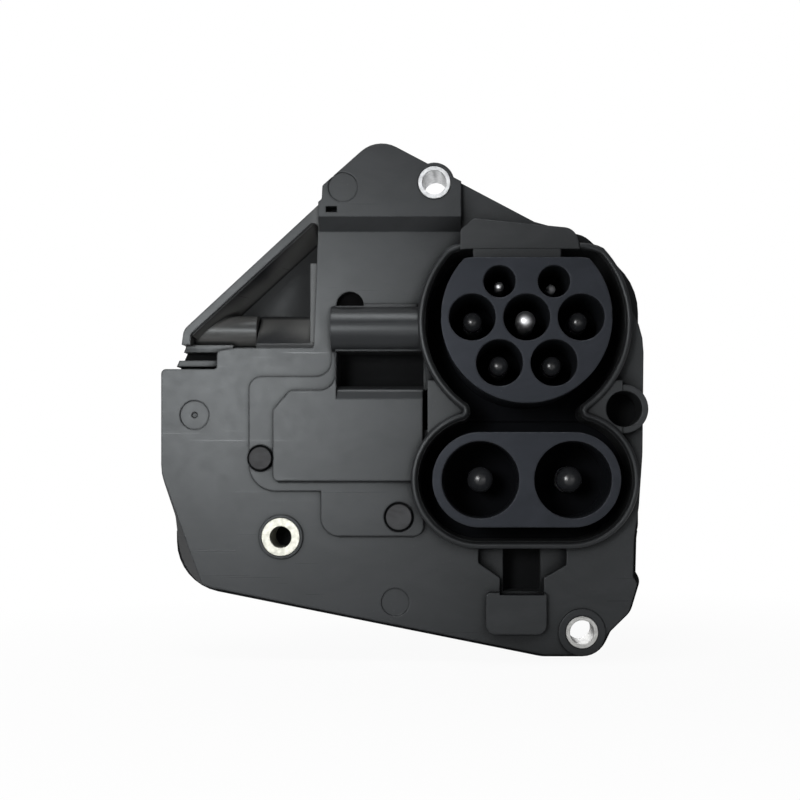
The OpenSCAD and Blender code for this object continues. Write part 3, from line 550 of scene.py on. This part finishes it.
def rubber(name, tone, edge, rough=0.66):
    """Matt rubber with a fine bloom and dust."""
    material, tree, shader = new_finish(name)
    shader.inputs["Specular IOR Level"].default_value = 0.35
    skin = use(tree, grain_group, Scale=3600.0)
    flow = use(tree, flow_group, Scale=110.0)
    specks = use(tree, dust_group, Scale=760.0)
    rounded = use(tree, edge_group, Radius=edge)
    bloom_by, bloom_a, bloom_b, bloom_out = mix(tree)
    bloom_a.default_value = rgba(tone, 0.8)
    bloom_b.default_value = rgba(tone, 1.7)
    grey_by, grey_a, grey_b, grey_out = mix(tree)
    grey_b.default_value = (0.12, 0.12, 0.12, 1.0)
    dust_by = add(tree, "ShaderNodeMath", {1: 0.4}, operation="MULTIPLY")
    matt = ramp(tree, 0.0, 1.0, rough - 0.08, rough + 0.1)
    raise_ = add(tree, "ShaderNodeBump", {"Strength": 0.15, "Distance": 0.0001})
    wire(
        tree,
        (flow.outputs["Tone"], bloom_by),
        (bloom_out, grey_a),
        (specks.outputs["Mask"], dust_by.inputs[0]),
        (dust_by.outputs[0], grey_by),
        (grey_out, shader.inputs["Base Color"]),
        (skin.outputs["Tone"], matt.inputs["Value"]),
        (matt.outputs["Result"], shader.inputs["Roughness"]),
        (rounded.outputs["Normal"], raise_.inputs["Normal"]),
        (skin.outputs["Height"], raise_.inputs["Height"]),
        (raise_.outputs["Normal"], shader.inputs["Normal"]),
    )
    return material


def plated(name, tone, edge, rough=0.22, centre=(0.0, 0.0, 0.0), pitch=16000.0):
    """Turned and plated metal, with tool rings about its own axis and slow stains."""
    material, tree, shader = new_finish(name)
    shader.inputs["Metallic"].default_value = 1.0
    place = add(tree, "ShaderNodeTexCoord")
    move = add(tree, "ShaderNodeMapping", {"Location": tuple(-c for c in centre)})
    rings = use(tree, turned_group, Pitch=pitch)
    lines = use(tree, scratch_group, Density=0.6)
    broken = use(tree, edge_group, Radius=edge)
    stain_by, stain_a, stain_b, stain_out = mix(tree)
    stain_a.default_value = rgba(tone, 0.8)
    stain_b.default_value = rgba(tone, 1.06)
    span = ramp(tree, 0.3, 0.7)
    dull = ramp(tree, 0.3, 0.7, rough + 0.1, rough - 0.04)
    scuffed = add(tree, "ShaderNodeMath", {1: 0.16}, operation="MULTIPLY_ADD")
    raise_ = add(tree, "ShaderNodeBump", {"Strength": 0.06, "Distance": 0.00004})
    wire(
        tree,
        (place.outputs["Object"], move.inputs["Vector"]),
        (move.outputs[0], rings.inputs["Vector"]),
        (rings.outputs["Stain"], span.inputs["Value"]),
        (span.outputs["Result"], stain_by),
        (stain_out, shader.inputs["Base Color"]),
        (rings.outputs["Stain"], dull.inputs["Value"]),
        (lines.outputs["Mask"], scuffed.inputs[0]),
        (dull.outputs["Result"], scuffed.inputs[2]),
        (scuffed.outputs[0], shader.inputs["Roughness"]),
        (rings.outputs["Height"], raise_.inputs["Height"]),
        (broken.outputs["Normal"], raise_.inputs["Normal"]),
        (raise_.outputs["Normal"], shader.inputs["Normal"]),
    )
    return material


def lacquered(name, tone):
    """Lacquered circuit board with the weave of its glass cloth."""
    material, tree, shader = new_finish(name)
    shader.inputs["Coat Roughness"].default_value = 0.2
    shader.inputs["Coat Weight"].default_value = 0.5
    place = add(tree, "ShaderNodeTexCoord")
    warp = add(tree, "ShaderNodeTexWave", {"Scale": 900.0, "Distortion": 0.4}, bands_direction="X")
    weft = add(tree, "ShaderNodeTexWave", {"Scale": 900.0, "Distortion": 0.4}, bands_direction="Z")
    cloth = add(tree, "ShaderNodeMath", operation="MULTIPLY")
    skin = use(tree, grain_group, Scale=1500.0)
    weave_by, weave_a, weave_b, weave_out = mix(tree)
    weave_a.default_value = rgba(tone, 0.75)
    weave_b.default_value = rgba(tone, 1.3)
    matt = ramp(tree, 0.0, 1.0, 0.3, 0.48)
    raise_ = add(tree, "ShaderNodeBump", {"Strength": 0.1, "Distance": 0.0001})
    wire(
        tree,
        (place.outputs["Object"], warp.inputs["Vector"]),
        (place.outputs["Object"], weft.inputs["Vector"]),
        (warp.outputs["Fac"], cloth.inputs[0]),
        (weft.outputs["Fac"], cloth.inputs[1]),
        (cloth.outputs[0], weave_by),
        (weave_out, shader.inputs["Base Color"]),
        (skin.outputs["Tone"], matt.inputs["Value"]),
        (matt.outputs["Result"], shader.inputs["Roughness"]),
        (cloth.outputs[0], raise_.inputs["Height"]),
        (raise_.outputs["Normal"], shader.inputs["Normal"]),
    )
    return material


# Pieces


def smooth_group():
    """Welds a solid's loose triangles and shades it smooth, with crisp edges where faces turn sharply."""
    tree = bpy.data.node_groups.new("Smooth shading", "GeometryNodeTree")
    tree.interface.new_socket("Geometry", in_out="INPUT", socket_type="NodeSocketGeometry")
    tree.interface.new_socket("Geometry", in_out="OUTPUT", socket_type="NodeSocketGeometry")
    given, out = tree.nodes.new("NodeGroupInput"), tree.nodes.new("NodeGroupOutput")
    bare = add(tree, "GeometryNodeRemoveAttribute", {"Name": "custom_normal"})
    weld = add(tree, "GeometryNodeMergeByDistance", {"Distance": 2e-6})
    faces = add(tree, "GeometryNodeSetShadeSmooth", domain="FACE")
    turn = add(tree, "GeometryNodeInputMeshEdgeAngle")
    gentle = add(tree, "FunctionNodeCompare", {"B": SOLID_CREASE}, data_type="FLOAT", operation="LESS_THAN")
    edges = add(tree, "GeometryNodeSetShadeSmooth", domain="EDGE")
    wire(
        tree,
        (given.outputs[0], bare.inputs["Geometry"]),
        (bare.outputs[0], weld.inputs["Geometry"]),
        (weld.outputs[0], faces.inputs[0]),
        (turn.outputs["Unsigned Angle"], gentle.inputs["A"]),
        (faces.outputs[0], edges.inputs[0]),
        (gentle.outputs["Result"], edges.inputs["Shade Smooth"]),
        (edges.outputs[0], out.inputs[0]),
    )
    return tree


def dressed(node, finish):
    """Shades a solid smooth, with its mesh as it is, and gives it a finish."""
    solid = NODES[node]
    solid.data.materials.clear()
    solid.data.materials.append(finish)
    shading = solid.modifiers.new("Smooth shading", "NODES")
    shading.node_group = shared(smooth_group)


def middle(node):
    """Centre of a solid's box."""
    low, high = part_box(node)
    return (low + high) / 2


class INLET_OT_front_housing(Operator):
    """Gives the front housing its grained black finish"""

    bl_idname = "inlet.front_housing"
    bl_label = "Front Housing"

    def execute(self, context):
        tones = context.scene.inlet_finish
        edge = context.scene.inlet_edges.housing
        finish = moulded(
            "Grained black moulding", tones.housing, edge, rough=0.325, grain=tones.grain, bump=0.09,
            gloss=0.32, sheen=(0.93, 0.98, 1.0),
        )
        dressed("front_housing", finish)
        return {"FINISHED"}


def swept(name, start, width, rise, path):
    """A bead that carries an oval ring along arcs, each a centre with an angle, and straight runs."""
    bead = bmesh.new()
    upright = Matrix.Rotation(math.pi / 2, 3, "Y")
    bmesh.ops.create_circle(bead, cap_ends=False, segments=14, radius=1.0)
    bmesh.ops.scale(bead, vec=(width, rise, 1.0), verts=bead.verts)
    bmesh.ops.translate(bead, vec=(start[0], start[1], 0.0), verts=bead.verts)
    bmesh.ops.rotate(bead, cent=(start[0], 0.0, 0.0), matrix=upright, verts=bead.verts)
    bmesh.ops.translate(bead, vec=(0.0, 0.0, start[2]), verts=bead.verts)
    last = bead.edges[:]
    for centre, run, turn in path:
        steps = max(2, round(abs(turn) / 4.0)) if turn else 1
        made = bmesh.ops.spin(
            bead, geom=last, cent=(centre[0], 0.0, centre[1]), axis=(0.0, 1.0, 0.0), dvec=(run, 0.0, 0.0),
            angle=math.radians(turn), steps=steps, use_merge=False, use_normal_flip=False,
            use_duplicate=False,
        )
        last = [part for part in made["geom_last"] if isinstance(part, bmesh.types.BMEdge)]
    bmesh.ops.holes_fill(bead, edges=[edge for edge in bead.edges if edge.is_boundary])
    bmesh.ops.recalc_face_normals(bead, faces=bead.faces)
    return finished(name, bead)


def finished(name, shape):
    """Object of a shape, shaded smooth apart from sharp corners."""
    for face in shape.faces:
        face.smooth = True
    for edge in shape.edges:
        edge.smooth = edge.calc_face_angle(0.0) < TRIM_CREASE
    mesh = bpy.data.meshes.new(name)
    shape.to_mesh(mesh)
    shape.free()
    piece = bpy.data.objects.new(name, mesh)
    bpy.context.scene.collection.objects.link(piece)
    return piece


class INLET_OT_collar_trim(Operator):
    """Adds the rolled bead on the collar's rim and the soft lip under the hood"""

    bl_idname = "inlet.collar_trim"
    bl_label = "Collar Trim"

    def execute(self, context):
        finish = bpy.data.materials["Grained black moulding"]
        middle_of_ac = (0.0, 0.0)
        right = [
            (FLAT_EASE, 0.0, 30.0), (middle_of_ac, 0.0, 95.6), (WEB_TIP, 0.0, -128.0),
            ((DC_HALF, DC_DROP), 0.0, 164.1),
        ]
        left = [((-place[0], place[1]), run, turn) for place, run, turn in reversed(right)]
        across = [(middle_of_ac, -2 * DC_HALF, 0.0)]
        start = (FLAT_EASE[0], RIM_LEVEL, BEAD_TOP)
        bead = swept("collar_bead", start, BEAD_WIDTH, BEAD_RISE, right + across + left)
        lip = bmesh.new()
        bmesh.ops.create_cube(lip, size=1.0)
        bmesh.ops.scale(lip, vec=LIP_SIZE, verts=lip.verts)
        bmesh.ops.translate(lip, vec=LIP_MIDDLE, verts=lip.verts)
        bmesh.ops.bevel(
            lip, geom=lip.edges, offset=LIP_BREAK, segments=1, profile=0.5, affect="EDGES", material=-1
        )
        for piece in (bead, finished("hood_lip", lip)):
            piece.data.materials.append(finish)
            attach(piece, "inlet")
        return {"FINISHED"}


class INLET_OT_insulators(Operator):
    """Gives both contact carriers their smooth black finish"""

    bl_idname = "inlet.insulators"
    bl_label = "Insulators"

    def execute(self, context):
        tones = context.scene.inlet_finish
        edge = context.scene.inlet_edges.tower
        finish = moulded(
            "Smooth black moulding", tones.insulator, edge, rough=0.35, grain=0.0003, bump=0.05, gloss=0.21,
            scuffs=0.25, hollow=0.018, sheen=(0.78, 0.86, 1.0),
        )
        for node in ("ac_insulator", "dc_insulator"):
            dressed(node, finish)
        return {"FINISHED"}


class INLET_OT_contacts(Operator):
    """Plates the nine contacts about their own axes and dresses their touch safe tips"""

    bl_idname = "inlet.contacts"
    bl_label = "Contacts"

    def execute(self, context):
        tones = context.scene.inlet_finish
        edge = context.scene.inlet_edges.turned
        for node in sorted(NODES):
            if node.endswith("_contact"):
                at = middle(node)
                dull = 0.75 if node == "pilot_contact" else 0.4
                finish = plated("Plated " + node, tones.plate, edge, rough=dull, centre=(at.x, 0.0, at.z))
                dressed(node, finish)
        caps = moulded(
            "Tip cap moulding", tones.cap, edge, rough=0.22, grain=0.0003, bump=0.03, gloss=0.42,
            scuffs=0.1, dust=0.0, hollow=0.001,
        )
        for node in ("ac_tip_caps", "dc_tip_caps"):
            dressed(node, caps)
        return {"FINISHED"}


class INLET_OT_bushes(Operator):
    """Plates the three fixing bushes about their own axes"""

    bl_idname = "inlet.bushes"
    bl_label = "Fixing Bushes"

    def execute(self, context):
        tones = context.scene.inlet_finish
        edge = context.scene.inlet_edges.turned
        # The lower bush's darker plating paints its shade
        platings = {"upper_bush": tones.zinc, "lower_bush": tones.shaded_plating, "left_bush": tones.insert}
        for node, tone in platings.items():
            at = middle(node)
            finish = plated("Plated " + node, tone, edge, rough=0.5, centre=(at.x, 0.0, at.z), pitch=11000.0)
            dressed(node, finish)
        return {"FINISHED"}


class INLET_OT_buffers(Operator):
    """Gives the two door buffers their rubber finish"""

    bl_idname = "inlet.buffers"
    bl_label = "Door Buffers"

    def execute(self, context):
        edge = context.scene.inlet_edges.rubber
        finish = rubber("Buffer rubber", context.scene.inlet_finish.housing, edge, rough=0.55)
        for node in ("left_buffer", "right_buffer"):
            dressed(node, finish)
        return {"FINISHED"}


class INLET_OT_lock(Operator):
    """Dresses the lock pin, its seal and the sealed actuator"""

    bl_idname = "inlet.lock"
    bl_label = "Plug Lock"

    def execute(self, context):
        tones = context.scene.inlet_finish
        edges = context.scene.inlet_edges
        at = middle("lock_pin")
        pin = plated("Ground lock pin", tones.steel, edges.turned, rough=0.28, centre=(0.0, at.y, at.z))
        dressed("lock_pin", pin)
        dressed("lock_seal", rubber("Seal rubber", tones.rubber, edges.rubber))
        # The case's near black tone also paints the shade in the half-round hole
        case = moulded("Actuator case", tones.case, edges.housing, rough=0.8, grain=0.0006, gloss=0.12)
        dressed("lock_actuator", case)
        return {"FINISHED"}


class INLET_OT_inner_parts(Operator):
    """Dresses the seals, the retainer, the temperature board and the inner screws"""

    bl_idname = "inlet.inner_parts"
    bl_label = "Inner Parts"

    def execute(self, context):
        tones = context.scene.inlet_finish
        edges = context.scene.inlet_edges
        seal = rubber("Gasket rubber", tones.rubber, edges.rubber)
        dressed("inlet_gasket", seal)
        dressed("cover_gasket", seal)
        retainer = moulded("Retainer moulding", tones.grey, edges.housing, rough=0.5, grain=0.0006)
        dressed("retainer_plate", retainer)
        dressed("temperature_board", lacquered("Board lacquer", tones.board))
        zinc = plated("Zinc plated inner screws", tones.steel, edges.turned, rough=0.32, pitch=12000.0)
        for node in ("retainer_fixings", "actuator_fixings"):
            dressed(node, zinc)
        return {"FINISHED"}


class INLET_OT_rear_parts(Operator):
    """Dresses the rear cover, its glands, the signal header and the cover's screws"""

    bl_idname = "inlet.rear_parts"
    bl_label = "Rear Parts"

    def execute(self, context):
        edges = context.scene.inlet_edges
        tones = context.scene.inlet_finish
        cover = moulded("Cover moulding", tones.cover, edges.cover, rough=0.5, grain=0.0006, bump=0.16)
        dressed("rear_cover", cover)
        gland = rubber("Gland rubber", tones.rubber, edges.rubber)
        for node in ("ac_gland", "dc_plus_gland", "dc_minus_gland"):
            dressed(node, gland)
        header = moulded("Header moulding", tones.grey, edges.housing, rough=0.48, grain=0.0005)
        dressed("signal_header", header)
        pins = plated("Gold plated pins", tones.gold, edges.turned, rough=0.2, pitch=20000.0)
        dressed("header_pins", pins)
        screws = plated("Zinc plated screws", tones.steel, edges.turned, rough=0.32, pitch=12000.0)
        dressed("cover_fixings", screws)
        return {"FINISHED"}


def seen(tree, mirrored):
    """One where the eye or glass looks at the backdrop, a share of it in a mirror, else zero."""
    path = add(tree, "ShaderNodeLightPath")
    share_of = add(tree, "ShaderNodeMath", {1: mirrored}, operation="MULTIPLY")
    first = add(tree, "ShaderNodeMath", operation="MAXIMUM")
    second = add(tree, "ShaderNodeMath", operation="MAXIMUM")
    wire(
        tree,
        (path.outputs["Is Glossy Ray"], share_of.inputs[0]),
        (path.outputs["Is Camera Ray"], first.inputs[0]),
        (share_of.outputs[0], first.inputs[1]),
        (first.outputs[0], second.inputs[0]),
        (path.outputs["Is Transmission Ray"], second.inputs[1]),
    )
    return second.outputs[0]


def aim(thing, place, target):
    """Puts a lamp or a camera at a place and turns it to a target."""
    thing.location = place
    thing.rotation_euler = (Vector(target) - Vector(place)).to_track_quat("-Z", "Y").to_euler()


def soft_lamp(name, place, target, size, power):
    """A square soft box."""
    data = bpy.data.lights.new(name, "AREA")
    data.size = size
    data.energy = power
    lamp = bpy.data.objects.new(name, data)
    bpy.context.scene.collection.objects.link(lamp)
    aim(lamp, place, target)


class INLET_OT_stage(Operator):
    """Sets the white floor, the room light, the soft lamps and the camera"""

    bl_idname = "inlet.stage"
    bl_label = "Photo Stage"

    def execute(self, context):
        scene = context.scene
        values = scene.inlet_stage
        scene.view_settings.view_transform = "Standard"

        ground = bmesh.new()
        bmesh.ops.create_grid(ground, x_segments=1, y_segments=1, size=FLOOR_HALF)
        bmesh.ops.translate(ground, verts=ground.verts, vec=(0.0, 0.0, CAD_LOW.z - FLOOR_GAP))
        sheet = bpy.data.meshes.new("floor")
        ground.to_mesh(sheet)
        ground.free()
        floor = bpy.data.objects.new("floor", sheet)
        scene.collection.objects.link(floor)
        paper = bpy.data.materials.new("White paper")
        paper.use_nodes = True
        tree = paper.node_tree
        tree.nodes.clear()
        place = add(tree, "ShaderNodeTexCoord")
        away = add(tree, "ShaderNodeVectorMath", operation="LENGTH")
        fade = ramp(tree, 0.12, 0.3, 0.94, 1.0)
        lit = add(tree, "ShaderNodeMath", operation="MULTIPLY")
        matt = add(tree, "ShaderNodeBsdfDiffuse", {"Color": (0.86, 0.86, 0.86, 1.0)})
        white = add(tree, "ShaderNodeEmission", {"Strength": 1.0})
        both = add(tree, "ShaderNodeMixShader")
        end = add(tree, "ShaderNodeOutputMaterial")
        wire(
            tree,
            (place.outputs["Object"], away.inputs[0]),
            (away.outputs["Value"], fade.inputs["Value"]),
            (fade.outputs["Result"], lit.inputs[0]),
            (seen(tree, 0.25), lit.inputs[1]),
            (lit.outputs[0], both.inputs[0]),
            (matt.outputs[0], both.inputs[1]),
            (white.outputs[0], both.inputs[2]),
            (both.outputs[0], end.inputs["Surface"]),
        )
        sheet.materials.append(paper)

        world = bpy.data.worlds.new("Studio")
        scene.world = world
        world.use_nodes = True
        tree = world.node_tree
        light = tree.nodes["Background"]
        path = add(tree, "ShaderNodeLightPath")
        toward = add(tree, "ShaderNodeTexCoord")
        slope = add(tree, "ShaderNodeVectorMath", {1: (-0.62, 0.0, 0.78)}, operation="DOT_PRODUCT")
        room = ramp(tree, -0.55, 0.75, 0.05, 0.55, interpolation_type="SMOOTHSTEP")
        soft = add(tree, "ShaderNodeMath", {1: values.ambient}, operation="MULTIPLY")
        mirror = add(tree, "ShaderNodeMix", data_type="FLOAT")
        level = add(tree, "ShaderNodeMix", data_type="FLOAT")
        level.inputs["B"].default_value = 1.0
        clear = add(tree, "ShaderNodeMath", operation="MAXIMUM")
        wire(
            tree,
            (toward.outputs["Generated"], slope.inputs[0]),
            (slope.outputs["Value"], room.inputs["Value"]),
            (room.outputs["Result"], soft.inputs[0]),
            (path.outputs["Is Glossy Ray"], mirror.inputs["Factor"]),
            (soft.outputs[0], mirror.inputs["A"]),
            (room.outputs["Result"], mirror.inputs["B"]),
            (path.outputs["Is Camera Ray"], clear.inputs[0]),
            (path.outputs["Is Transmission Ray"], clear.inputs[1]),
            (clear.outputs[0], level.inputs["Factor"]),
            (mirror.outputs["Result"], level.inputs["A"]),
            (level.outputs["Result"], light.inputs["Strength"]),
        )
        light.inputs["Color"].default_value = (1.0, 1.0, 1.0, 1.0)

        for name, (place, target, size) in LAMPS.items():
            soft_lamp(name.capitalize(), place, target, size, getattr(values, name))

        data = bpy.data.cameras.new("Camera")
        data.lens = values.lens
        data.sensor_width = 36.0
        data.clip_start = 0.01
        camera = bpy.data.objects.new("Camera", data)
        scene.collection.objects.link(camera)
        data.shift_x, data.shift_y = PICTURE_SHIFT
        aim(camera, EYE, EYE_TARGET)
        scene.camera = camera
        return {"FINISHED"}


STEPS = (
    INLET_OT_front_housing,
    INLET_OT_collar_trim,
    INLET_OT_insulators,
    INLET_OT_contacts,
    INLET_OT_bushes,
    INLET_OT_buffers,
    INLET_OT_lock,
    INLET_OT_inner_parts,
    INLET_OT_rear_parts,
    INLET_OT_stage,
)


class INLET_PT_build(Panel):
    """Lists the pieces of the inlet and the values behind them"""

    bl_label = "Charging Inlet"
    bl_idname = "INLET_PT_build"
    bl_space_type = "VIEW_3D"
    bl_region_type = "UI"
    bl_category = "Inlet"

    def draw(self, context):
        column = self.layout.column(align=True)
        for step in STEPS:
            column.operator(step.bl_idname)
        for owner in (context.scene.inlet_edges, context.scene.inlet_finish, context.scene.inlet_stage):
            box = self.layout.box()
            for key in owner.__annotations__:
                box.prop(owner, key)


CLASSES = (InletEdges, InletFinish, InletStage, *STEPS, INLET_PT_build)


def register():
    """Registers the values, the steps and the panel."""
    for kind in CLASSES:
        bpy.utils.register_class(kind)
    bpy.types.Scene.inlet_edges = PointerProperty(type=InletEdges)
    bpy.types.Scene.inlet_finish = PointerProperty(type=InletFinish)
    bpy.types.Scene.inlet_stage = PointerProperty(type=InletStage)


def unregister():
    """Takes the panel, the steps and the values away again."""
    del bpy.types.Scene.inlet_stage
    del bpy.types.Scene.inlet_finish
    del bpy.types.Scene.inlet_edges
    for kind in reversed(CLASSES):
        bpy.utils.unregister_class(kind)


def main():
    """Builds every piece in order."""
    register()
    for step in STEPS:
        group, name = step.bl_idname.split(".")
        getattr(getattr(bpy.ops, group), name)()


if __name__ == "__main__":
    main()
